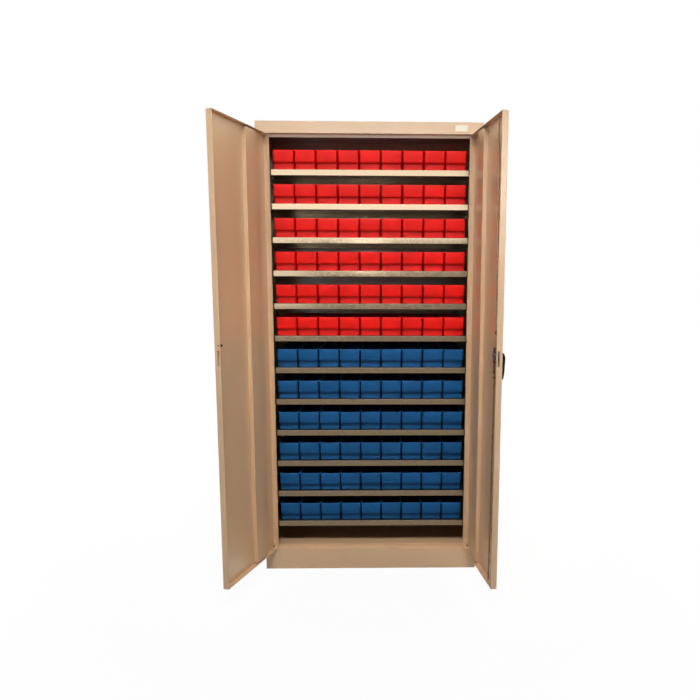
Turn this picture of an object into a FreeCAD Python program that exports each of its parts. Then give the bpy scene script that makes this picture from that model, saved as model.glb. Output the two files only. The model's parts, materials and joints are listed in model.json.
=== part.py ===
import FreeCAD, Part
import math
import os

from FreeCAD import Vector

# A two-door sheet steel storage cupboard with twelve galvanised shelves,
# each carrying a row of nine small plastic trays. Millimetres, +X to the
# right as seen from the front, +Y to the back, +Z up. The origin is on the
# floor, in the middle of the base. The doors stand open and the trays in.

# ---------------------------------------------------------------- carcass
width = 950.0
height = 1950.0
depth = 450.0
sheet = 1.2                 # thickness of the painted sheet
fit = 0.2                   # gap between pieces that are slid together
jamb_width = 25.0           # front fold of a side panel
jamb_return = 26.0          # how far that fold turns inwards
back_fold = 15.0
header_height = 48.0
header_stop = 12.0          # lip below the header that the doors shut against
ledge_top = 91.0            # ledge under the doors
floor_step = 16.0           # rise from the ledge to the floor of the cupboard
floor_flange = 20.0
foot_flange = 20.0          # flange of the base frame that stands on the floor

# ------------------------------------------------------------------ doors
door_thickness = 24.0
door_side_gap = 2.5         # at the hinge edge
door_end_gap = 4.0          # above and below
door_middle_gap = 3.0       # between the two doors when they are shut
stop_clearance = 3.0        # behind a shut door
pivot_in = 9.0              # pivot from the hinge edge of the door
pivot_back = 6.5            # pivot from the outer face of the door
left_open_angle = 107.0
right_open_angle = 97.7
pin_diameter = 6.0
pin_clearance = 0.1         # all round
pin_reach = 12.0            # how far a pin reaches into its door
collar_width = 15.0         # eight-sided shoulder of a pin, in the gap at the door's end
pin_notch = 9.0             # square clearance hole for the pin in the door's edge fold
plate_thickness = 3.0       # hinge plate inside each door corner
plate_length = 44.0
plate_rise = 34.0
plate_corner = 6.0
stiffener_start = 108.0     # from the hinge edge
stiffener_width = 84.0
stiffener_depth = 17.0
stiffener_flange = 12.0
stiffener_sheet = 1.0
stiffener_gap = 5.0         # between its ends and the folded edges of the door
keep_height = 58.0          # slot in the free edge that the tongue goes through
keep_width = 7.0
keep_middle = 1007.5
buffer_rise = 48.0          # rubber buffer of the left door, above the middle of its slot
buffer_width = 10.0
buffer_reach = 5.0          # past the folded edge, towards the shelves
buffer_tail = 3.0           # thickness behind the fold
buffer_stem = 4.0           # through the fold
buffer_rivet = 0.8          # height of the stem's end outside the fold

# ------------------------------------------------------------------- lock
lock_height = 1015.0        # spindle above the floor
lock_from_edge = 62.0       # spindle from the free edge of the right door
module = 2.0                # of the pinion and the two racks
pinion_teeth = 12
pressure_angle = 20.0
backlash = 0.3
gear_back = 6.0             # gear and racks from the outer face of the door
gear_thickness = 5.0
pinion_addendum = 1.8
rack_addendum = 1.3
root_clearance = 0.5
rack_teeth = 7
rack_end = 1.0              # plain end before the first tooth
rack_bar = 4.5              # plain bar behind the rack teeth
rod_diameter = 6.0
rod_hole_play = 2.0         # around a rod in the folded edges of its door
rod_slot_play = 3.0         # around a rod in the header and the ledge
rod_from_middle = 91.0      # where the rods meet the header and the ledge
coupling_rise = 23.5        # screw that joins a rack to its rod, from spindle
coupling_screw = 7.0
screw_head = 1.6
coupling_in = 8.0           # the rods start this far each side of the spindle
case_wall = 1.5
case_half_height = 17.0
spindle_diameter = 8.0
spindle_seat = 7.0          # how far the spindle goes into the handle
tongue_reach = 8.0          # how far the turned tongue goes past the edge of its door
tongue_width = 12.0
tongue_boss = 9.0           # corner radius of the hexagon round the spindle
tongue_thickness = 3.0
nut_width = 14.0
nut_thickness = 3.5
guide_offset = 88.0         # rod guides above and below the spindle
guide_foot = 8.0
guide_width = 8.0
guide_wall = 1.5
guide_play = 1.0
rose_width = 30.0
rose_height = 44.0
rose_thickness = 4.0
rose_drop = 4.0             # middle of the rose below the spindle
grip_length = 95.0          # handle tip below the spindle
grip_reach = 27.0           # how far the handle stands off the door
grip_width = 26.0
grip_tip_width = 15.0
cylinder_diameter = 12.0
cylinder_depth = 9.0
cylinder_wall = 3.8         # of the handle, between the spindle and the key cylinder
key_slot_width = 1.6
key_slot_height = 7.0
key_slot_depth = 5.0

# ---------------------------------------------------------------- shelves
shelf_count = 12
top_space = 189.0           # from the highest shelf to the top of the cupboard
bottom_space = 108.5        # from the floor of the cupboard to the lowest shelf
shelf_sheet = 1.0
shelf_lip = 24.0
shelf_hem = 12.0
shelf_front = 30.0          # shelf front behind the front of the cupboard
shelf_depth = 410.0
shelf_side_lip = 20.0
shelf_play = 1.0            # between a shelf end and the upright
upright_width = 25.0
upright_depth = 10.0
upright_sheet = 1.5
upright_front = 40.0        # front upright behind the front of the cupboard
upright_back = 60.0         # back upright before the back of the cupboard
slot_width = 14.0
slot_height = 7.0
clip_width = 12.0
clip_sheet = 1.5
clip_reach = 12.0
clip_drop = 14.0
clip_lug = 5.0

# ------------------------------------------------------------------ trays
trays_per_row = 9
tray_pitch = 91.7
tray_height = 81.0
tray_depth = 400.0
tray_front = 37.0           # tray front behind the front of the cupboard
tray_rim_width = 90.5
tray_rim_height = 6.0
tray_top_width = 86.0       # outside, under the rim
tray_base_width = 85.0
tray_wall = 2.2
grip_recess = 14.0          # the lower front is set back for the fingers
grip_height = 29.0
grip_slope = 3.0
tray_back_slope = 4.0
hand_set = 3.0              # trays pushed in by hand differ by up to this

# ---------------------------------------------------------- derived sizes
half_width = width / 2
front = -depth / 2
back = depth / 2
inner_half = half_width - jamb_width
header_bottom = height - header_height
floor_top = ledge_top + floor_step
stop_face = front + door_thickness + stop_clearance
back_panel_face = back - 2 * sheet
door_width = inner_half - door_side_gap - door_middle_gap / 2
door_bottom = ledge_top + door_end_gap
door_top = header_bottom - door_end_gap
hinge_edge = -inner_half + door_side_gap
pitch_radius = module * pinion_teeth / 2
lock_across = door_width - lock_from_edge
tongue_length = lock_from_edge + tongue_reach
tongue_back = gear_back + gear_thickness + case_wall + 2 * fit
keep_back = tongue_back + tongue_thickness / 2      # middle of the tongue's slots
rack_dedendum = pinion_addendum + root_clearance
rod_across = inner_half - door_side_gap - rod_from_middle
rod_back = gear_back + gear_thickness / 2
rod_radius = rod_diameter / 2
rod_throw = pitch_radius * math.pi / 2      # of both rods, for a quarter turn
handle_back = -rose_thickness - fit
spindle_start = handle_back - spindle_seat
cylinder_back = spindle_start - cylinder_wall
pin_hole = pin_diameter + 2 * pin_clearance
top_shelf = height - top_space
shelf_pitch = (top_shelf - floor_top - bottom_space) / (shelf_count - 1)
loose_row = shelf_count // 2                # this row's trays are written one by one


# ---------------------------------------------------------------- helpers
def block(x0, x1, y0, y1, z0, z1):
    return Part.makeBox(x1 - x0, y1 - y0, z1 - z0, Vector(x0, y0, z0))


def face_of(points):
    return Part.Face(Part.makePolygon(points + points[:1]))


def along_x(outline, x0, x1):
    """Extrude a (y, z) outline along X."""
    return face_of([Vector(x0, y, z) for y, z in outline]).extrude(Vector(x1 - x0, 0, 0))


def along_y(outline, y0, y1):
    """Extrude an (x, z) outline along Y."""
    return face_of([Vector(x, y0, z) for x, z in outline]).extrude(Vector(0, y1 - y0, 0))


def along_z(outline, z0, z1):
    """Extrude an (x, y) outline along Z."""
    return face_of([Vector(x, y, z0) for x, y in outline]).extrude(Vector(0, 0, z1 - z0))


def polygon(across, up, radius, count):
    """Outline of a regular polygon."""
    turns = [2 * math.pi * k / count for k in range(count)]
    return [(across + radius * math.cos(turn), up + radius * math.sin(turn)) for turn in turns]


def rod(radius, start, end):
    way = end - start
    return Part.makeCylinder(radius, way.Length, start, way)


def folded(path, thickness):
    """Outline of a folded sheet: its outer path, and the same path inside it.

    The sheet lies to the right of the path.
    """
    steps = [(b[0] - a[0], b[1] - a[1]) for a, b in zip(path, path[1:])]
    sides = [(dy / math.hypot(dx, dy), -dx / math.hypot(dx, dy)) for dx, dy in steps]
    inside = []
    for i, (x, y) in enumerate(path):
        before = sides[max(i - 1, 0)]
        after = sides[min(i, len(sides) - 1)]
        share = thickness / (1 + before[0] * after[0] + before[1] * after[1])
        inside.append((x + share * (before[0] + after[0]), y + share * (before[1] + after[1])))
    return path + inside[::-1]


def mirrored(shape):
    return shape.mirror(Vector(0, 0, 0), Vector(1, 0, 0))


def save(name, shapes):
    shape = shapes if isinstance(shapes, Part.Shape) else Part.makeCompound(shapes)
    shape.exportStep("parts/" + name + ".step")


# ---------------------------------------------------------------- carcass
def side_panel():
    """Left side: outer wall with the front jamb and the back fold."""
    section = folded([(-inner_half, front + jamb_return), (-inner_half, front),
                      (-half_width, front), (-half_width, back),
                      (-half_width + back_fold, back)], sheet)
    panel = along_z(section, 0, height - sheet)
    header_room = block(-half_width + sheet, -inner_half + sheet, front, back - sheet - fit,
                        header_bottom, height)
    header_front = block(-half_width, -inner_half, front, front + sheet, header_bottom, height)
    return panel.cut(header_room).cut(header_front)


def top_panel():
    """Top sheet, header, the return behind it and the stop lip below it."""
    section = folded([(stop_face, header_bottom - header_stop), (stop_face, header_bottom),
                      (front, header_bottom), (front, height), (back, height)], sheet)
    between_walls = half_width - sheet
    panel = along_x(section, -between_walls, between_walls)
    header = block(-half_width, half_width, front, front + sheet, header_bottom, height)
    cover = block(-half_width, half_width, front, back, height - sheet, height)
    panel = panel.fuse(header).fuse(cover).removeSplitter()
    return panel.cut(rod_slot(header_bottom))


def back_panel():
    return block(-half_width + sheet + fit, half_width - sheet - fit, back_panel_face,
                 back_panel_face + sheet, 0, height - sheet)


def rod_slot(low):
    """Cutter for the slot in the header or the ledge that a lock rod enters."""
    half = rod_radius + rod_slot_play
    y = front + rod_back
    return block(rod_from_middle - half, rod_from_middle + half, y - half, y + half,
                 low - 1, low + sheet + 1)


def floor_panel():
    """Floor with its stop step, the ledge under the doors and a back flange."""
    end = back_panel_face - fit
    section = folded([(front, ledge_top), (stop_face, ledge_top), (stop_face, floor_top),
                      (end, floor_top), (end, floor_top - floor_flange)], sheet)
    reach = half_width - sheet - fit
    panel = along_x(section, -reach, reach)
    for sign in (-1, 1):
        edge = sorted((sign * (inner_half - fit), sign * half_width))
        panel = panel.cut(block(edge[0], edge[1], front - 1, stop_face - fit, 0, floor_top))
    return panel.cut(rod_slot(ledge_top - sheet))


def base_frame():
    """Kick plate, side runners and back runner, with the foot flange."""
    half = inner_half - fit
    end = back_panel_face - fit
    top = floor_top - sheet
    frame = block(-half, half, front, end, 0, top)
    frame = frame.cut(block(-half + sheet, half - sheet, front + sheet, end - sheet, sheet, top))
    frame = frame.cut(block(-half + foot_flange, half - foot_flange, front + foot_flange,
                            end - foot_flange, 0, sheet))
    # lower at the front, under the ledge, and at the back, under the floor flange
    frame = frame.cut(block(-half, half, front, stop_face + sheet + fit, ledge_top - sheet, top))
    return frame.cut(block(-half, half, end - sheet - fit, end,
                           floor_top - floor_flange - fit, top))


def shelf_top(row):
    return top_shelf - shelf_pitch * row


def upright_places():
    return [front + upright_front, back - upright_back - upright_width]


def uprights():
    """Four slotted channels that carry the shelf clips."""
    shapes = []
    wall = -half_width + sheet
    face = wall + upright_depth
    for y in upright_places():
        section = folded([(wall, y), (face, y), (face, y + upright_width),
                          (wall, y + upright_width)][::-1], upright_sheet)
        channel = along_z(section, floor_top, header_bottom - header_stop)
        middle = y + upright_width / 2
        slots = [block(face - 2 * upright_sheet, face + 1, middle - slot_width / 2,
                       middle + slot_width / 2, clip_slot(row), clip_slot(row) + slot_height)
                 for row in range(shelf_count)]
        channel = channel.cut(Part.makeCompound(slots))
        shapes += [channel, mirrored(channel)]
    return shapes


def clip_slot(row):
    """Bottom of the slot that holds the clips of one shelf."""
    return shelf_top(row) - shelf_side_lip - clip_drop - fit


def shelf_clips():
    """Bent steel clips, hooked in the uprights, that the shelves stand on."""
    face = -half_width + sheet + upright_depth
    shapes = []
    for row in range(shelf_count):
        seat = shelf_top(row) - shelf_side_lip
        low = seat - clip_drop
        section = [(face + clip_reach, seat), (face, seat), (face, low + clip_sheet),
                   (face - clip_lug, low + clip_sheet), (face - clip_lug, low),
                   (face + clip_sheet, low), (face + clip_sheet, seat - clip_sheet),
                   (face + clip_reach, seat - clip_sheet)]
        for y in upright_places():
            middle = y + upright_width / 2
            clip = along_y(section, middle - clip_width / 2, middle + clip_width / 2)
            shapes += [clip, mirrored(clip)]
    return shapes


def shelf(row):
    """Galvanised shelf: hemmed front lip, plain back and side lips."""
    top = shelf_top(row)
    y0 = front + shelf_front
    y1 = y0 + shelf_depth
    section = folded([(y0 + shelf_hem, top - shelf_lip), (y0, top - shelf_lip), (y0, top), (y1, top),
                      (y1, top - shelf_lip)], shelf_sheet)
    end = half_width - sheet - upright_depth - shelf_play
    body = along_x(section, -end, end)
    for x in (-end, end - shelf_sheet):
        body = body.fuse(block(x, x + shelf_sheet, y0, y1, top - shelf_side_lip, top))
    return body.removeSplitter()


# ------------------------------------------------------------------ trays
def tray(row, place):
    """Open plastic tray with a rim, and a front set back for the fingers."""
    low = shelf_top(row)
    middle = tray_pitch * (place - (trays_per_row - 1) / 2)
    y0 = front + tray_front + hand_set * (0.5 + 0.5 * math.sin(2.7 * place + 1.9 * row))
    y1 = y0 + tray_depth
    top = low + tray_height
    rim = top - tray_rim_height
    outer_side = [(y0 + grip_recess, low), (y0 + grip_recess, low + grip_height),
                  (y0, low + grip_height + grip_slope), (y0, top), (y1, top),
                  (y1 - tray_back_slope, low)]
    base = tray_base_width / 2
    upper = tray_top_width / 2
    outer_front = [(middle - base, low), (middle + base, low), (middle + upper, rim),
                   (middle + tray_rim_width / 2, rim), (middle + tray_rim_width / 2, top),
                   (middle - tray_rim_width / 2, top), (middle - tray_rim_width / 2, rim),
                   (middle - upper, rim)]
    body = along_x(outer_side, middle - width, middle + width)
    body = body.common(along_y(outer_front, y0 - 1, y1 + 1))
    inner_side = [(y0 + grip_recess + tray_wall, low + tray_wall),
                  (y0 + grip_recess + tray_wall, low + grip_height + tray_wall),
                  (y0 + tray_wall, low + grip_height + grip_slope + tray_wall),
                  (y0 + tray_wall, top), (y1 - tray_wall, top),
                  (y1 - tray_back_slope - tray_wall, low + tray_wall)]
    opened = upper - tray_wall
    inner_front = [(middle - base + tray_wall, low), (middle + base - tray_wall, low),
                   (middle + opened, top), (middle - opened, top)]
    hollow = along_x(inner_side, middle - width, middle + width)
    hollow = hollow.common(along_y(inner_front, y0, y1))
    return body.cut(hollow)


# ------------------------------------------------------------------ doors
# A door is drawn shut on the left side: x from its hinge edge, y from its
# outer face, z from the floor. It is then opened about its pivot, and the
# right door is mirrored.
def pivots():
    x = hinge_edge + pivot_in
    return [(x, front + pivot_back), (-x, front + pivot_back)]


def hung(shape, side):
    angle = left_open_angle if side == "left" else right_open_angle
    placed = shape.copy()
    placed.translate(Vector(hinge_edge, front, 0))
    placed.rotate(Vector(*pivots()[0], 0), Vector(0, 0, 1), -angle)
    return placed if side == "left" else mirrored(placed)


def door_panel(side):
    """Sheet pan with four folded edges."""
    panel = block(0, door_width, 0, door_thickness, door_bottom, door_top)
    panel = panel.cut(block(sheet, door_width - sheet, sheet, door_thickness + 1,
                            door_bottom + sheet, door_top - sheet))
    half = pin_notch / 2
    # the pins, then the tongue's slot in the free edge
    panel = panel.cut(block(pivot_in - half, pivot_in + half, pivot_back - half, pivot_back + half,
                            door_bottom - 1, door_top + 1))
    edge = door_width - sheet - 1
    panel = panel.cut(block(edge, door_width + 1, keep_back - keep_width / 2,
                            keep_back + keep_width / 2, keep_middle - keep_height / 2,
                            keep_middle + keep_height / 2))
    if side == "left":
        y, z = buffer_place()
        half = (buffer_stem + fit) / 2
        return panel.cut(block(edge, door_width + 1, y - half, y + half, z - half, z + half))
    half = rod_radius + rod_hole_play
    panel = panel.cut(block(rod_across - half, rod_across + half, rod_back - rod_radius - 1,
                            rod_back + rod_radius + 1, door_bottom - 1, door_top + 1))
    return panel.cut(spindle_notch(-1, sheet + 1))


def buffer_place():
    """Depth and height of the buffer's stem."""
    return keep_back + buffer_stem / 2, keep_middle + buffer_rise


def door_buffer():
    """Rubber buffer riveted in the edge fold, its round head clear of the shelves."""
    y, z = buffer_place()
    inside = door_width - sheet
    tail = block(inside - buffer_tail, inside, y - buffer_stem, door_thickness, z - buffer_stem,
                 z + buffer_stem)
    half = buffer_stem / 2
    stem = block(inside, door_width, y - half, y + half, z - half, z + half)
    rivet = along_x(polygon(y, z, 1.6 * half, 8), door_width, door_width + buffer_rivet)
    head = along_y(polygon(door_width - buffer_width / 2, z, buffer_width / 2, 12), door_thickness,
                   door_thickness + buffer_reach)
    return head.fuse([tail, stem, rivet]).removeSplitter()


def door_stiffener():
    """Hat section down the inside of a door, open at both ends."""
    x0 = stiffener_start
    x1 = x0 + stiffener_width
    y1 = sheet + stiffener_depth
    section = folded([(x0 - stiffener_flange, sheet + stiffener_sheet), (x0, sheet + stiffener_sheet),
                      (x0, y1), (x1, y1), (x1, sheet + stiffener_sheet),
                      (x1 + stiffener_flange, sheet + stiffener_sheet)], stiffener_sheet)
    return along_z(section, door_bottom + sheet + stiffener_gap, door_top - sheet - stiffener_gap)


def hinge_plates():
    """An angle plate in each hinge corner, its free end with cut corners."""
    plates = []
    for low, turn in ((door_bottom + sheet, 1), (door_top - sheet, -1)):
        deep = door_thickness - 1 - sheet
        z = low if turn > 0 else low - plate_thickness
        corner = plate_length - plate_corner
        foot = along_z([(sheet, sheet), (corner, sheet), (plate_length, sheet + plate_corner),
                        (plate_length, sheet + deep - plate_corner), (corner, sheet + deep),
                        (sheet, sheet + deep)], z, z + plate_thickness)
        rise = sorted((low, low + turn * plate_rise))
        leg = block(sheet, sheet + plate_thickness, sheet, sheet + deep, rise[0], rise[1])
        plate = foot.fuse(leg).removeSplitter()
        plates.append(plate.cut(rod(pin_hole / 2, Vector(pivot_in, pivot_back, z - plate_rise),
                                    Vector(pivot_in, pivot_back, z + plate_rise))))
    return plates


def hinge_pins(x, y):
    """Shouldered pins welded to the ledge and the header: each collar fills the door gap."""
    pins = []
    for seat, turn in ((ledge_top, 1), (header_bottom, -1)):
        shoulder = seat + turn * door_end_gap
        corners = polygon(x, y, collar_width / 2, 8)
        collar = along_z(corners, *sorted((seat, shoulder)))
        start = Vector(x, y, shoulder)
        pins.append(collar.fuse(rod(pin_diameter / 2, start, start + Vector(0, 0, turn * pin_reach))))
    return pins


# ------------------------------------------------------------------- lock
def involute(radius, base):
    """Polar angle of the involute of the base circle at a radius."""
    turn = math.sqrt(max((radius / base) ** 2 - 1, 0))
    return turn - math.atan(turn)


def pinion():
    """Spur pinion and its spindle, turned by the handle."""
    alpha = math.radians(pressure_angle)
    base = pitch_radius * math.cos(alpha)
    tip = pitch_radius + pinion_addendum
    root = pitch_radius - rack_addendum - root_clearance
    half_tooth = (math.pi * module / 2 - backlash) / (2 * pitch_radius)
    at_pitch = involute(pitch_radius, base)
    radii = [root] + [base + (tip - base) * k / 2 for k in range(3)]
    outline = []
    for tooth in range(pinion_teeth):
        middle = 2 * math.pi * (tooth + 0.5) / pinion_teeth
        flank = [(r, half_tooth + at_pitch - involute(max(r, base), base)) for r in radii]
        for r, half in flank:
            outline.append((middle - half, r))
        for r, half in flank[::-1]:
            outline.append((middle + half, r))
    points = [(lock_across + r * math.cos(a), lock_height + r * math.sin(a)) for a, r in outline]
    gear = along_y(points, gear_back, gear_back + gear_thickness)
    start = Vector(lock_across, spindle_start, lock_height)
    end = Vector(lock_across, tongue_back + tongue_thickness, lock_height)
    return gear.fuse(rod(spindle_diameter / 2, start, end))


def rack(turn):
    """Toothed bar and its round rod. turn 1 is the upper one, -1 the lower one."""
    pitch = math.pi * module
    slope = math.tan(math.radians(pressure_angle))
    line = lock_across + turn * pitch_radius
    tip = line - turn * rack_addendum
    root = line + turn * rack_dedendum
    rear = root + turn * rack_bar
    half = (pitch / 2 - backlash) / 2
    reach = rack_addendum * slope
    fall = rack_dedendum * slope
    low = lock_height - turn * (rack_teeth - 3) * pitch
    outline = []
    for k in range(rack_teeth):
        z = low + turn * k * pitch
        outline += [(root, z - turn * (half + fall)), (tip, z - turn * (half - reach)),
                    (tip, z + turn * (half - reach)), (root, z + turn * (half + fall))]
    first = outline[0][1] - turn * rack_end
    last = lock_height + turn * (coupling_rise + coupling_screw)
    outline = [(rear, first), (root, first)] + outline + [(root, last), (rear, last)]
    bar = along_y(outline, gear_back, gear_back + gear_thickness)
    start = Vector(lock_across + turn * coupling_in, rod_back, lock_height + turn * coupling_rise)
    edge = door_top if turn > 0 else door_bottom
    end = Vector(rod_across, rod_back, edge)
    reach_x = sorted((rear, start.x - turn * rod_radius))
    rise = sorted((start.z, start.z + turn * coupling_screw))
    lug = block(reach_x[0], reach_x[1], gear_back, gear_back + gear_thickness, rise[0], rise[1])
    beyond = end + (end - start) * 0.01
    bar = bar.fuse(lug).fuse(rod(rod_radius, start, beyond))
    trim = block(0, door_width, 0, door_thickness, 0, height)
    trim.translate(Vector(0, 0, edge if turn > 0 else edge - height))
    return bar.cut(trim).removeSplitter()


def spindle_notch(y0, y1):
    """Cutter for a square hole round the spindle."""
    half = spindle_diameter / 2 + fit
    return block(lock_across - half, lock_across + half, y0, y1, lock_height - half,
                 lock_height + half)


def hexagon(x, z, radius, y, deep):
    return along_y(polygon(x, z, radius, 6), y, y + deep)


def coupling_screws(turn):
    """Low hexagon head that holds a rod to its rack."""
    x = lock_across + turn * (coupling_in + rod_radius + coupling_screw / 2)
    z = lock_height + turn * (coupling_rise + coupling_screw / 2)
    return hexagon(x, z, coupling_screw / 2, gear_back + gear_thickness, screw_head)


def lock_case():
    """Cover over the pinion and the racks, open above and below for them."""
    half = pitch_radius + rack_dedendum + rack_bar + fit
    y1 = gear_back + gear_thickness + fit
    wall = half + case_wall
    outline = [(-half, sheet), (-half, y1), (half, y1), (half, sheet), (wall, sheet), (wall, y1),
               (half, y1 + case_wall), (-half, y1 + case_wall), (-wall, y1), (-wall, sheet)]
    outline = [(lock_across + x, y) for x, y in outline]
    case = along_z(outline, lock_height - case_half_height, lock_height + case_half_height)
    return case.cut(spindle_notch(0, door_thickness))


def tongue():
    """Flat tongue on the spindle: it swings through the slots of both doors."""
    half = tongue_width / 2
    end = tongue_back + tongue_thickness
    plate = block(lock_across - half, lock_across + half, tongue_back, end,
                  lock_height - tongue_length, lock_height)
    boss = hexagon(lock_across, lock_height, tongue_boss, tongue_back, tongue_thickness)
    return plate.fuse(boss).removeSplitter().cut(spindle_notch(tongue_back - 1, end + 1))


def tongue_nut():
    return hexagon(lock_across, lock_height, nut_width / 2, tongue_back + tongue_thickness,
                   nut_thickness)


def rod_guides():
    """Straps on the door skin that keep the two rods in line."""
    guides = []
    for turn in (1, -1):
        z = lock_height + turn * guide_offset
        start = lock_height + turn * coupling_rise
        edge = door_top if turn > 0 else door_bottom
        share = (z - turn * rod_throw / 2 - start) / (edge - start)
        x = lock_across + turn * coupling_in
        x += share * (rod_across - x)
        foot = sheet + guide_wall
        half = rod_radius + guide_play + guide_wall
        top = rod_back + half
        section = folded([(x - half - guide_foot, foot), (x - half, foot), (x - half, top),
                          (x + half, top), (x + half, foot), (x + half + guide_foot, foot)],
                         guide_wall)
        guides.append(along_z(section, z - guide_width / 2, z + guide_width / 2))
    return guides


def rounded_plate(x, z, wide, tall, y0, y1):
    radius = wide / 2
    low = Vector(x, y0, z - tall / 2 + radius)
    high = Vector(x, y0, z + tall / 2 - radius)
    way = Vector(0, y1 - y0, 0)
    plate = block(x - radius, x + radius, y0, y1, low.z, high.z)
    return plate.fuse(rod(radius, low, low + way)).fuse(rod(radius, high, high + way)).removeSplitter()


def rose():
    plate = rounded_plate(lock_across, lock_height - rose_drop, rose_width, rose_height,
                          -rose_thickness, 0)
    hole = Vector(lock_across, -rose_thickness, lock_height)
    return plate.cut(rod(spindle_diameter / 2 + fit, hole, hole + Vector(0, rose_thickness, 0)))


def smooth(points):
    curve = Part.BSplineCurve()
    curve.interpolate(points)
    return curve.toShape()


def handle_side():
    """The handle seen from the side: shares of its reach outwards and of its length down."""
    reach = grip_reach + handle_back
    head = grip_width / 2 / grip_length

    def at(out, down):
        return Vector(lock_across, handle_back - out * reach, lock_height - down * grip_length)
    outer = [at(0, -head), at(0.6, -0.85 * head), at(0.95, 0.04), at(1, 0.35), at(0.95, 0.75), at(0.74, 1)]
    inner = [at(0.52, 1), at(0.62, 0.7), at(0.6, 0.38), at(0.32, 0.22), at(0, 0.17)]
    return Part.Face(Part.Wire([smooth(outer), Part.makeLine(outer[-1], inner[0]), smooth(inner),
                                Part.makeLine(inner[-1], outer[0])]))


def handle_front():
    """The handle seen from the front: a round head over a tapering grip."""
    wide = grip_width / 2
    narrow = grip_tip_width / 2
    flank = [(wide, 0), (0.85 * wide, 0.23 * grip_length), (narrow, 0.58 * grip_length),
             (0.93 * narrow, grip_length - narrow)]
    right = [Vector(lock_across + x, 0, lock_height - down) for x, down in flank]
    left = [Vector(lock_across - x, 0, lock_height - down) for x, down in flank[::-1]]
    tip = Vector(lock_across, 0, lock_height - grip_length)
    crown = Vector(lock_across, 0, lock_height + wide)
    return Part.Face(Part.Wire([smooth(right), Part.Arc(right[-1], tip, left[0]).toShape(),
                                smooth(left), Part.Arc(left[-1], crown, right[0]).toShape()]))


def handle():
    """Drop handle: a boss on the spindle and a curved grip hanging from it."""
    side = handle_side()
    side.translate(Vector(-grip_width, 0, 0))
    body = side.extrude(Vector(2 * grip_width, 0, 0))
    body = body.common(handle_front().extrude(Vector(0, -2 * grip_reach, 0)))
    seat = Vector(lock_across, cylinder_back, lock_height)
    body = body.cut(rod(cylinder_diameter / 2 + fit, seat, seat - Vector(0, grip_reach, 0)))
    end = Vector(lock_across, spindle_start, lock_height)
    return body.cut(rod(spindle_diameter / 2 + fit / 2, end, end + Vector(0, spindle_seat + 1, 0)))


def lock_cylinder():
    """Key cylinder in the boss of the handle, with its key slot."""
    end = Vector(lock_across, cylinder_back, lock_height)
    start = end - Vector(0, cylinder_depth, 0)
    body = rod(cylinder_diameter / 2, start, end)
    return body.cut(block(lock_across - key_slot_width / 2, lock_across + key_slot_width / 2,
                          start.y - 1, start.y + key_slot_depth, lock_height - key_slot_height / 2,
                          lock_height + key_slot_height / 2))


# ------------------------------------------------------------------ write
def main():
    os.makedirs("parts", exist_ok=True)
    save("left_side_panel", side_panel())
    save("right_side_panel", mirrored(side_panel()))
    save("top_panel", top_panel())
    save("back_panel", back_panel())
    save("floor_panel", floor_panel())
    save("base_frame", base_frame())
    save("shelf_uprights", uprights())
    save("shelf_clips", shelf_clips())
    for row in range(shelf_count):
        save("shelf_%02d" % (row + 1), shelf(row))
    for row in range(shelf_count):
        trays = [tray(row, place) for place in range(trays_per_row)]
        if row + 1 == loose_row:
            for place, shape in enumerate(trays):
                save("tray_%02d_%d" % (row + 1, place + 1), shape)
        else:
            save("tray_row_%02d" % (row + 1), trays)
    for side in ("left", "right"):
        save(side + "_door_panel", hung(door_panel(side), side))
        save(side + "_door_stiffener", hung(door_stiffener(), side))
        save(side + "_hinge_plates", [hung(plate, side) for plate in hinge_plates()])
    save("left_door_buffer", hung(door_buffer(), "left"))
    save("hinge_pins", [pin for place in pivots() for pin in hinge_pins(*place)])
    save("lock_case", hung(lock_case(), "right"))
    save("lock_pinion", hung(pinion(), "right"))
    save("lock_tongue", hung(tongue(), "right"))
    save("tongue_nut", hung(tongue_nut(), "right"))
    save("upper_lock_rod", hung(rack(1), "right"))
    save("lower_lock_rod", hung(rack(-1), "right"))
    save("upper_rod_screw", hung(coupling_screws(1), "right"))
    save("lower_rod_screw", hung(coupling_screws(-1), "right"))
    save("rod_guides", [hung(guide, "right") for guide in rod_guides()])
    save("handle_rose", hung(rose(), "right"))
    save("door_handle", hung(handle(), "right"))
    save("lock_cylinder", hung(lock_cylinder(), "right"))


main()
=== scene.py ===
import json
import math

import bmesh
import bpy
from mathutils import Matrix, Vector


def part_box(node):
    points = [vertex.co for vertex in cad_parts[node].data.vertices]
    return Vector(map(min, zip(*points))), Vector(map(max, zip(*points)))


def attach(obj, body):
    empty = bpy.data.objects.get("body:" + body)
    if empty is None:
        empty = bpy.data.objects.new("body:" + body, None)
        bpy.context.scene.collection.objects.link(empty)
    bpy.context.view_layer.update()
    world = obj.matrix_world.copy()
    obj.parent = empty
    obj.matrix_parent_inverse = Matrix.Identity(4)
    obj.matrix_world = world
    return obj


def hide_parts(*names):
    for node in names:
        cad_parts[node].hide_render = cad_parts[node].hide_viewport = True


# Looks of a two-door steel storage cupboard with shelves of small trays.
# Metres, +Z up, the doors open towards -Y.

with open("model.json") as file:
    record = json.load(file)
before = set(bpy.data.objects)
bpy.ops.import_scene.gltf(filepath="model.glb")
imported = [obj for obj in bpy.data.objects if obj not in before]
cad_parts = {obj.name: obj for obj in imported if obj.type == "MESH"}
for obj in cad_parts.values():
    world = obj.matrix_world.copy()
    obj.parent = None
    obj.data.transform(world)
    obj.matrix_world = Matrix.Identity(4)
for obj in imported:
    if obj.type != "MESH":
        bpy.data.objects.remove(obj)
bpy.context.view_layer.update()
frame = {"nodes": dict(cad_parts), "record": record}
nodes = frame["nodes"]

# ------------------------------------ camera: degrees, and pixels of 700
camera_place = (0.0577, -3.1746, 1.2881)
camera_yaw = 1.288
camera_pitch = 8.588
camera_roll = 0.179
focal_pixels = 679.6
centre_pixel = (398.7, 385.7)
picture_pixels = 700
sensor_mm = 36.0

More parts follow.
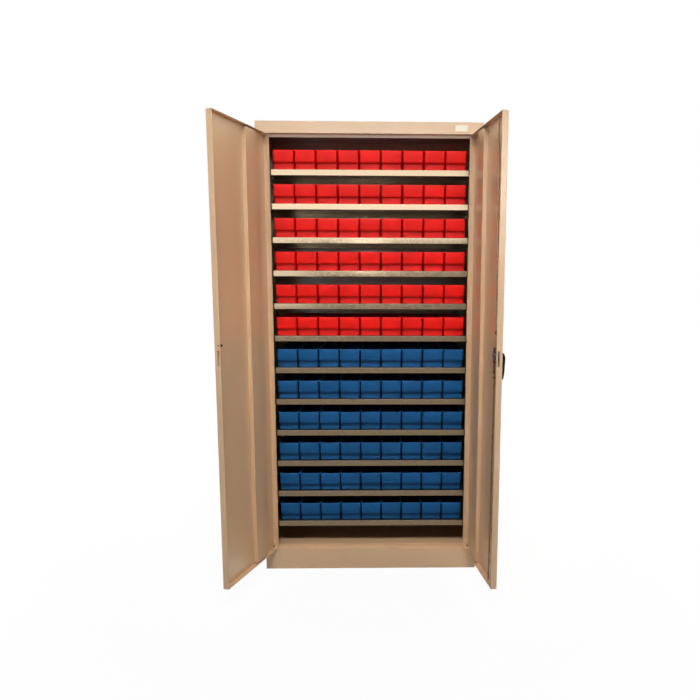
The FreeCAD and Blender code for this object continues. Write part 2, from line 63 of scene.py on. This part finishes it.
# ------------------------------------------- colours, as linear red, green, blue
paint_colour = (0.64, 0.425, 0.246)
zinc_colour = (0.180, 0.130, 0.080)
steel_colour = (0.26, 0.165, 0.095)
grey_colour = (0.055, 0.055, 0.060)
black_colour = (0.008, 0.007, 0.007)
red_colour = (0.880, 0.010, 0.005)
blue_colour = (0.008, 0.094, 0.268)
label_colour = (0.83, 0.78, 0.60)

# ------------------------------------------------------------ tray sizes
tray_pitch = 0.0917
rim_half = 0.04525          # half widths of the outside
under_rim_half = 0.043
base_half = 0.0425
rim_tall = 0.006
wall = 0.0022
grip_recess = 0.014         # the lower front is set back for the fingers
grip_tall = 0.029
grip_slope = 0.003
back_slope = 0.004
inside_taper = 0.001        # of the inside's half width, below the rim
base_edge = 0.002           # rounded edges, seen from the side
grip_edge = 0.0012
rim_low_edge = 0.0006
rim_top_edge = 0.0008
rim_top_set_in = 0.0006
rim_inner_edge = 0.0005
outer_corner = 0.005        # rounded upright corners
rim_corner = 0.006
base_corner = 0.004
inner_corner = 0.004
floor_corner = 0.003
corner_steps = 3

# ------------------------------------- card rails on the fronts of the trays
rail_proud = 0.0012
rail_root = 0.0003          # how far a rail is sunk in the front
rail_wide = 0.0022
rail_inset = 0.006          # from the tray's side
rail_rise = 0.010           # above the finger recess
rail_tall = 0.032

# ----------------------------------------------------- edges of the CAD pieces
weld_distance = 0.00001
bevel_segments = 2
bevel_angle = math.radians(28)
flat_face_weight = 100
fold_radius = {"cabinet_paint": 0.0012, "door_paint": 0.0012, "zinc": 0.0009}
other_radius = 0.0004
smooth_angle = math.radians(42)     # of the meshes that are made here

# ------------------------------- blank label: width, thickness and height
label_size = (0.052, 0.0006, 0.025)
label_from_right = 0.066
label_from_top = 0.012

# ------------------------------------------------------------------ stage
dark_strength = 0.0         # the lamps alone light the object
white_strength = 1.0
white_colour = (1.0, 1.0, 1.0, 1.0)
floor_colour = (0.50, 0.50, 0.50, 1.0)
floor_roughness = 0.9
floor_specular = 0.1
floor_half = 14.0
floor_white_share = 0.92    # of the floor's look close to the object
floor_glow = 1.03
fade_start = 1.2            # distances from the object's middle
fade_end = 3.2
lamp_colour = (1.0, 0.99, 0.97)
sheen_colour = (0.84, 0.91, 1.0)


# -------------------------------------------------------------- materials
def material(name):
    """An empty node material with a principled shader."""
    made = bpy.data.materials.new(name)
    made.use_nodes = True
    tree = made.node_tree
    tree.nodes.clear()
    output = tree.nodes.new("ShaderNodeOutputMaterial")
    shader = tree.nodes.new("ShaderNodeBsdfPrincipled")
    tree.links.new(shader.outputs["BSDF"], output.inputs["Surface"])
    return made, tree, shader


def texture(tree, kind, scale, **settings):
    """A procedural texture in the object's own coordinates, in metres."""
    place = tree.nodes.new("ShaderNodeTexCoord")
    node = tree.nodes.new(kind)
    node.inputs["Scale"].default_value = scale
    for key, value in settings.items():
        node.inputs[key].default_value = value
    tree.links.new(place.outputs["Object"], node.inputs["Vector"])
    return node


def noise(tree, scale, **settings):
    """A noise texture."""
    return texture(tree, "ShaderNodeTexNoise", scale, **settings)


def ramp(tree, source, stops):
    """Colour ramp over (position, colour) stops."""
    node = tree.nodes.new("ShaderNodeValToRGB")
    node.color_ramp.elements[0].position = stops[0][0]
    node.color_ramp.elements[0].color = stops[0][1] + (1.0,)
    node.color_ramp.elements[1].position = stops[-1][0]
    node.color_ramp.elements[1].color = stops[-1][1] + (1.0,)
    for position, colour in stops[1:-1]:
        element = node.color_ramp.elements.new(position)
        element.color = colour + (1.0,)
    tree.links.new(source, node.inputs["Fac"])
    return node.outputs["Color"]


def grey(value):
    return (value, value, value)


def scaled(colour, factor):
    return tuple(min(c * factor, 1.0) for c in colour)


def bump(tree, shader, source, strength, distance, before=None):
    """Bump of a height source, on top of an earlier bump node if there is one."""
    node = tree.nodes.new("ShaderNodeBump")
    node.inputs["Strength"].default_value = strength
    node.inputs["Distance"].default_value = distance
    tree.links.new(source, node.inputs["Height"])
    if before is not None:
        tree.links.new(before.outputs["Normal"], node.inputs["Normal"])
    tree.links.new(node.outputs["Normal"], shader.inputs["Normal"])
    return node


def powder_coat():
    """Satin beige powder coat: orange peel, faint dirt and wavy sheet."""
    made, tree, shader = material("powder_coat")
    shader.inputs["Specular IOR Level"].default_value = 0.55
    shader.inputs["Coat Weight"].default_value = 0.28
    shader.inputs["Coat Roughness"].default_value = 0.16
    dirt = noise(tree, scale=3.1, Detail=6.0, Roughness=0.62)
    colour = ramp(tree, dirt.outputs["Fac"], [
        (0.30, scaled(paint_colour, 0.93)), (0.52, paint_colour),
        (0.75, scaled(paint_colour, 1.04))])
    tree.links.new(colour, shader.inputs["Base Color"])
    smear = noise(tree, scale=7.0, Detail=4.0)
    rough = ramp(tree, smear.outputs["Fac"], [(0.3, grey(0.30)), (0.7, grey(0.38))])
    tree.links.new(rough, shader.inputs["Roughness"])
    sheet = noise(tree, scale=2.4, Detail=1.0)
    peel = noise(tree, scale=620.0, Detail=2.0)
    waves = bump(tree, shader, sheet.outputs["Fac"], strength=0.5, distance=0.0012)
    bump(tree, shader, peel.outputs["Fac"], strength=0.22, distance=0.0002, before=waves)
    return made


def galvanised():
    """Zinc coated sheet with its spangle and rolling marks."""
    made, tree, shader = material("galvanised_sheet")
    shader.inputs["Metallic"].default_value = 0.92
    spangle = texture(tree, "ShaderNodeTexVoronoi", scale=130.0, Randomness=1.0)
    colour = ramp(tree, spangle.outputs["Color"], [
        (0.15, scaled(zinc_colour, 0.90)), (0.5, zinc_colour),
        (0.9, scaled(zinc_colour, 1.12))])
    tree.links.new(colour, shader.inputs["Base Color"])
    rough = ramp(tree, spangle.outputs["Color"], [(0.1, grey(0.15)), (0.9, grey(0.25))])
    tree.links.new(rough, shader.inputs["Roughness"])
    marks = noise(tree, scale=260.0, Detail=3.0)
    bump(tree, shader, marks.outputs["Fac"], strength=0.12, distance=0.0002)
    return made


def plated_steel():
    """Plated steel, duller where it is worn."""
    made, tree, shader = material("plated_steel")
    shader.inputs["Metallic"].default_value = 1.0
    wear = noise(tree, scale=90.0, Detail=5.0)
    colour = ramp(tree, wear.outputs["Fac"], [
        (0.3, scaled(steel_colour, 0.82)), (0.7, steel_colour)])
    tree.links.new(colour, shader.inputs["Base Color"])
    rough = ramp(tree, wear.outputs["Fac"], [(0.3, grey(0.36)), (0.7, grey(0.22))])
    tree.links.new(rough, shader.inputs["Roughness"])
    bump(tree, shader, wear.outputs["Fac"], strength=0.08, distance=0.0001)
    return made


def plastic(name, colour, roughness, grain, specular=0.5):
    """Moulded plastic: a fine eroded grain, and a colour that drifts a little."""
    made, tree, shader = material(name)
    shader.inputs["Specular IOR Level"].default_value = specular
    drift = noise(tree, scale=14.0, Detail=3.0)
    tone = ramp(tree, drift.outputs["Fac"], [
        (0.3, scaled(colour, 0.90)), (0.5, colour), (0.72, scaled(colour, 1.08))])
    tree.links.new(tone, shader.inputs["Base Color"])
    smear = noise(tree, scale=40.0, Detail=4.0)
    rough = ramp(tree, smear.outputs["Fac"], [
        (0.3, grey(roughness - 0.05)), (0.7, grey(roughness + 0.07))])
    tree.links.new(rough, shader.inputs["Roughness"])
    fine = noise(tree, scale=900.0, Detail=2.0)
    bump(tree, shader, fine.outputs["Fac"], strength=grain, distance=0.0001)
    return made


paint = powder_coat()
zinc = galvanised()
steel = plated_steel()
lock_grey = plastic("lock_case_grey", grey_colour, roughness=0.42, grain=0.10)
black = plastic("handle_black", black_colour, roughness=0.50, grain=0.08, specular=0.08)
red = plastic("red_plastic", red_colour, roughness=0.48, grain=0.10, specular=0.12)
blue = plastic("blue_plastic", blue_colour, roughness=0.48, grain=0.10, specular=0.12)
label_paper = plastic("blank_label", label_colour, roughness=0.55, grain=0.05)
rubber = plastic("black_rubber", black_colour, roughness=0.60, grain=0.05, specular=0.25)
looks = {"cabinet_paint": paint, "door_paint": paint, "zinc": zinc, "bright_steel": steel,
         "lock_grey": lock_grey, "handle_black": black, "rubber": rubber,
         "tray_red": red, "tray_blue": blue}


# --------------------------------------------------------- carried-over CAD
def dress(node, look, edge):
    """A CAD node keeps its shape: it gets a material and its edges a small radius."""
    node.data.materials.clear()
    node.data.materials.append(look)
    weld = node.modifiers.new("weld", "WELD")
    weld.merge_threshold = weld_distance
    round_edges = node.modifiers.new("edges", "BEVEL")
    round_edges.width = edge
    round_edges.segments = bevel_segments
    round_edges.limit_method = "ANGLE"
    round_edges.angle_limit = bevel_angle
    for face in node.data.polygons:
        face.use_smooth = True
    weighted = node.modifiers.new("flat_faces", "WEIGHTED_NORMAL")
    weighted.weight = flat_face_weight


slot_of = {part["node"]: part["material_slot"] for part in frame["record"]["subparts"]}
for name, node in nodes.items():
    dress(node, looks[slot_of[name]], fold_radius.get(slot_of[name], other_radius))


# ------------------------------------------------------------------ trays
def ring(mesh, half, front, back, z, radius):
    """Rounded rectangle of vertices at one height."""
    vertices = []
    corners = [(half, back, 0), (-half, back, 90), (-half, front, 180), (half, front, 270)]
    for x, y, turn in corners:
        cx = x - math.copysign(radius, x)
        cy = y + (radius if y == front else -radius)
        for k in range(corner_steps + 1):
            angle = math.radians(turn + 90 * k / corner_steps)
            vertices.append(mesh.verts.new((cx + radius * math.cos(angle),
                                            cy + radius * math.sin(angle), z)))
    return vertices


def bridge(mesh, lower, upper):
    """Faces between two rings."""
    count = len(lower)
    for k in range(count):
        following = (k + 1) % count
        mesh.faces.new((lower[k], lower[following], upper[following], upper[k]))


def half_at(rise, tall):
    """Half width of the tray's outside at a height."""
    return base_half + (under_rim_half - base_half) * rise / (tall - rim_tall)


def add_tray(mesh, middle, front, back, low, high):
    """One open tray: outside up to the rim, over the rim, inside down to the floor."""
    tall = high - low
    under_rim = tall - rim_tall
    grip_top = grip_tall + grip_slope
    lower_front = front + grip_recess

    def back_at(rise):
        return back - back_slope * (1 - rise / tall)

    base_back = back_at(0)
    grip_back = back_at(grip_tall)
    grip_half = half_at(grip_tall, tall)
    # half width, front, back, rise and corner radius of each ring
    outside = [
        (base_half - base_edge, lower_front + base_edge, base_back - base_edge, 0.0, base_corner),
        (base_half, lower_front, base_back, base_edge, outer_corner),
        (half_at(grip_tall - grip_edge, tall), lower_front, grip_back, grip_tall - grip_edge,
         outer_corner),
        (grip_half, lower_front - grip_edge, grip_back, grip_tall, outer_corner),
        (grip_half, front + grip_edge, grip_back, grip_top - grip_edge / 2, outer_corner),
        (half_at(grip_top + grip_edge, tall), front, grip_back, grip_top + grip_edge,
         outer_corner),
        (under_rim_half, front, back, under_rim, outer_corner),
        (rim_half - rim_low_edge, front, back, under_rim, rim_corner),
        (rim_half, front, back, under_rim + rim_low_edge, rim_corner),
        (rim_half, front, back, tall - rim_top_edge, rim_corner),
        (rim_half - rim_top_edge, front + rim_top_set_in, back - rim_top_set_in, tall,
         rim_corner)]
    inner = under_rim_half - wall
    tapered = inner - inside_taper
    floor = base_half - wall
    inner_front = front + wall
    inner_back = back - wall
    inside = [
        (inner + rim_top_set_in, inner_front - rim_inner_edge, inner_back + rim_inner_edge, tall,
         inner_corner),
        (inner, inner_front, inner_back, tall - rim_top_edge, inner_corner),
        (tapered, inner_front, grip_back - wall, grip_top + wall, inner_corner),
        (tapered, lower_front + wall, grip_back - wall, grip_tall + wall, inner_corner),
        (floor, lower_front + wall, base_back - wall, wall + base_edge, inner_corner),
        (floor - base_edge, lower_front + wall + base_edge, base_back - wall - base_edge, wall,
         floor_corner)]
    loops = [ring(mesh, *values) for values in outside + inside]
    for lower, upper in zip(loops, loops[1:]):
        bridge(mesh, lower, upper)
    mesh.faces.new(loops[0][::-1])
    mesh.faces.new(loops[-1])
    placed = [vertex for loop in loops for vertex in loop]
    placed += add_card_rails(mesh, front, grip_half)
    for vertex in placed:
        vertex.co.x += middle
        vertex.co.z += low


def add_box(mesh, low, high):
    """A box between two corners; gives its vertices."""
    made = bmesh.ops.create_cube(mesh, size=1.0)["verts"]
    for vertex in made:
        for axis in range(3):
            centre = (low[axis] + high[axis]) / 2
            vertex.co[axis] = centre + vertex.co[axis] * (high[axis] - low[axis])
    return made


def add_card_rails(mesh, front, half):
    """Two upright rails and a sill on the front panel that hold a card."""
    edge = half - rail_inset
    bottom = grip_tall + rail_rise
    top = bottom + rail_tall
    y0 = front - rail_proud
    y1 = front + rail_root
    vertices = []
    for x0, x1, z1 in ((-edge, -edge + rail_wide, top), (edge - rail_wide, edge, top),
                       (-edge + rail_wide, edge - rail_wide, bottom + rail_wide)):
        vertices += add_box(mesh, (x0, y0, bottom), (x1, y1, z1))
    return vertices


def finish_mesh(mesh, name, look):
    """An object of the finished mesh, smooth up to the smooth angle."""
    bmesh.ops.recalc_face_normals(mesh, faces=mesh.faces)
    data = bpy.data.meshes.new(name)
    mesh.to_mesh(data)
    mesh.free()
    data.materials.append(look)
    for face in data.polygons:
        face.use_smooth = True
    data.set_sharp_from_angle(angle=smooth_angle)
    made = bpy.data.objects.new(name, data)
    bpy.context.scene.collection.objects.link(made)
    return made


def tray_fronts(node):
    """Front and back of each tray of a node, by its place in the row."""
    spans = {}
    for vertex in node.data.vertices:
        place = round(vertex.co.x / tray_pitch)
        low, high = spans.get(place, (vertex.co.y, vertex.co.y))
        spans[place] = (min(low, vertex.co.y), max(high, vertex.co.y))
    return spans


def dress_trays(node_name, body, look):
    """Rounded trays in place of a node's plain ones."""
    node = nodes[node_name]
    low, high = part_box(node_name)
    mesh = bmesh.new()
    for place, (front, back) in sorted(tray_fronts(node).items()):
        add_tray(mesh, place * tray_pitch, front, back, low.z, high.z)
    made = finish_mesh(mesh, node_name + "_look", look)
    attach(made, body)
    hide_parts(node_name)


bodies = frame["record"]["behaviour"]["bodies"]
body_of_node = {node: body for body, members in bodies.items() for node in members}
for name in sorted(nodes):
    if name.startswith("tray_"):
        dress_trays(name, body_of_node[name], looks[slot_of[name]])


# ------------------------------------------------------------ blank label
def blank_label():
    """Bare cream label at the right end of the header."""
    low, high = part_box("top_panel")
    wide, thick, tall = label_size
    right = high.x - label_from_right
    top = high.z - label_from_top
    mesh = bmesh.new()
    add_box(mesh, (right - wide, low.y - thick, top - tall), (right, low.y, top))
    made = finish_mesh(mesh, "blank_label", label_paper)
    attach(made, "carcass")


blank_label()


# ------------------------------------------- backdrop, floor and the lamps
def maths(tree, operation, *values):
    """A maths node of plain numbers and other nodes' outputs; gives its output."""
    node = tree.nodes.new("ShaderNodeMath")
    node.operation = operation
    for socket, value in zip(node.inputs, values):
        if isinstance(value, float):
            socket.default_value = value
        else:
            tree.links.new(value, socket)
    return node.outputs[0]


def light_path_white(tree):
    """1 where the camera, a reflection or glass looks, and 0 otherwise."""
    path = tree.nodes.new("ShaderNodeLightPath")
    seen = path.outputs["Is Camera Ray"]
    for extra in ("Is Glossy Ray", "Is Transmission Ray"):
        seen = maths(tree, "MAXIMUM", seen, path.outputs[extra])
    return seen


def make_world():
    """White to the camera and to reflections, and dark to all else."""
    world = bpy.data.worlds.new("studio")
    bpy.context.scene.world = world
    world.use_nodes = True
    tree = world.node_tree
    tree.nodes.clear()
    output = tree.nodes.new("ShaderNodeOutputWorld")
    dark = tree.nodes.new("ShaderNodeBackground")
    dark.inputs["Strength"].default_value = dark_strength
    white = tree.nodes.new("ShaderNodeBackground")
    white.inputs["Color"].default_value = white_colour
    white.inputs["Strength"].default_value = white_strength
    mix = tree.nodes.new("ShaderNodeMixShader")
    tree.links.new(light_path_white(tree), mix.inputs["Fac"])
    tree.links.new(dark.outputs["Background"], mix.inputs[1])
    tree.links.new(white.outputs["Background"], mix.inputs[2])
    tree.links.new(mix.outputs["Shader"], output.inputs["Surface"])


def open_share(tree, place, share):
    """The share, and 0 under the object's base, where only holes look."""
    low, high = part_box("floor_panel")
    middle = (low + high) / 2
    half = (high - low) / 2
    parts = tree.nodes.new("ShaderNodeSeparateXYZ")
    tree.links.new(place.outputs["Object"], parts.inputs["Vector"])
    beyond = 0.0
    for axis, centre, reach in (("X", middle.x, half.x), ("Y", middle.y, half.y)):
        inside = maths(tree, "COMPARE", parts.outputs[axis], centre, reach)
        outside = maths(tree, "SUBTRACT", 1.0, inside)
        beyond = maths(tree, "MAXIMUM", beyond, outside)
    return maths(tree, "MULTIPLY", beyond, share)


def make_floor():
    """Pale floor that fades to the white of the world away from the object."""
    mesh = bmesh.new()
    bmesh.ops.create_grid(mesh, x_segments=1, y_segments=1, size=floor_half)
    floor_look, tree, shader = material("pale_floor")
    shader.inputs["Base Color"].default_value = floor_colour
    shader.inputs["Roughness"].default_value = floor_roughness
    shader.inputs["Specular IOR Level"].default_value = floor_specular
    place = tree.nodes.new("ShaderNodeTexCoord")
    distance = tree.nodes.new("ShaderNodeVectorMath")
    distance.operation = "LENGTH"
    tree.links.new(place.outputs["Object"], distance.inputs[0])
    white = tree.nodes.new("ShaderNodeMapRange")
    white.inputs["From Min"].default_value = fade_start
    white.inputs["From Max"].default_value = fade_end
    white.inputs["To Min"].default_value = floor_white_share
    white.inputs["To Max"].default_value = 1.0
    tree.links.new(distance.outputs["Value"], white.inputs["Value"])
    share = maths(tree, "MULTIPLY", light_path_white(tree),
                  open_share(tree, place, white.outputs["Result"]))
    glow = tree.nodes.new("ShaderNodeEmission")
    glow.inputs["Strength"].default_value = floor_glow
    mix = tree.nodes.new("ShaderNodeMixShader")
    output = next(node for node in tree.nodes if node.type == "OUTPUT_MATERIAL")
    tree.links.new(share, mix.inputs["Fac"])
    tree.links.new(shader.outputs["BSDF"], mix.inputs[1])
    tree.links.new(glow.outputs["Emission"], mix.inputs[2])
    tree.links.new(mix.outputs["Shader"], output.inputs["Surface"])
    finish_mesh(mesh, "floor", floor_look)


def area_lamp(name, place, target, size, power, colour=lamp_colour, spread=180):
    """A rectangular lamp that looks at a target; its spread is in degrees."""
    data = bpy.data.lights.new(name, "AREA")
    data.shape = "RECTANGLE"
    data.size, data.size_y = size
    data.energy = power
    data.color = colour
    data.spread = math.radians(spread)
    lamp = bpy.data.objects.new(name, data)
    lamp.location = place
    lamp.rotation_euler = (Vector(target) - Vector(place)).to_track_quat("-Z", "Y").to_euler()
    bpy.context.scene.collection.objects.link(lamp)
    return lamp


def soft_lamp(name, place, target, size, power, spread=180):
    """A lamp that lights surfaces and isn't seen in reflections."""
    lamp = area_lamp(name, place, target, size, power, spread=spread)
    lamp.visible_glossy = False


def sheen_lamp(name, place, target, size, power):
    """A lamp that is only seen in reflections, such as those in the zinc."""
    lamp = area_lamp(name, place, target, size, power, sheen_colour)
    lamp.visible_diffuse = False


make_world()
make_floor()
# name, place, target, width and height, watts
for lamp in (
        ("key", (0.0, -4.5, 7.0), (0.0, -0.2, 1.0), (4.0, 2.4), 180.0),
        ("ceiling", (0.0, -2.2, 2.9), (0.0, 0.0, 0.9), (1.0, 0.35), 10.5)):
    area_lamp(*lamp)
soft_lamp("middle", (0.0, -2.6, 3.2), (0.0, 0.0, 0.65), (1.2, 0.4), 4.8, spread=50)
for lamp in (
        ("side_left", (-3.3, -1.6, 2.3), (0.0, 0.0, 1.1), (1.2, 1.4), 18.0),
        ("side_right", (3.3, -1.6, 2.4), (0.0, 0.0, 1.2), (1.2, 1.4), 36.0)):
    area_lamp(*lamp)
for lamp in (
        ("flank_left", (-3.9, 0.9, 2.4), (0.0, 0.1, 1.0), (1.6, 1.6), 75.0),
        ("flank_right", (3.9, 0.9, 2.4), (0.0, 0.1, 1.0), (1.6, 1.6), 75.0),
        ("back_left", (-2.4, 3.6, 2.8), (0.0, 0.2, 1.0), (1.6, 1.6), 80.0),
        ("back_right", (2.4, 3.6, 2.8), (0.0, 0.2, 1.0), (1.6, 1.6), 80.0)):
    soft_lamp(*lamp)
for lamp in (
        ("panel", (0.3, -3.6, 2.08), (0.3, 0.0, 2.08), (3.8, 0.8), 64.0),
        ("panel_left", (-1.1, -3.6, 1.3), (-1.1, 0.0, 1.3), (0.9, 0.6), 9.0),
        ("spot", (-0.1, -3.3, 1.52), (-0.1, 0.0, 1.52), (0.14, 0.16), 3.0),
        ("fold_high", (0.5, -3.0, 5.2), (0.5, 0.0, 1.0), (3.4, 0.8), 70.0)):
    sheen_lamp(*lamp)


# ----------------------------------------------------------------- camera
def make_camera():
    """The camera at the solved place, its centre pixel as a shift."""
    data = bpy.data.cameras.new("camera")
    data.sensor_width = sensor_mm
    data.lens = focal_pixels / picture_pixels * sensor_mm
    data.shift_x = (picture_pixels / 2 - centre_pixel[0]) / picture_pixels
    data.shift_y = (centre_pixel[1] - picture_pixels / 2) / picture_pixels
    camera = bpy.data.objects.new("camera", data)
    turn = Matrix.Rotation(math.radians(-camera_yaw), 4, "Z")
    tilt = Matrix.Rotation(math.radians(90 - camera_pitch), 4, "X")
    lean = Matrix.Rotation(math.radians(camera_roll), 4, "Z")
    camera.matrix_world = Matrix.Translation(camera_place) @ turn @ tilt @ lean
    bpy.context.scene.collection.objects.link(camera)
    bpy.context.scene.camera = camera


make_camera()
bpy.context.scene.view_settings.view_transform = "Standard"
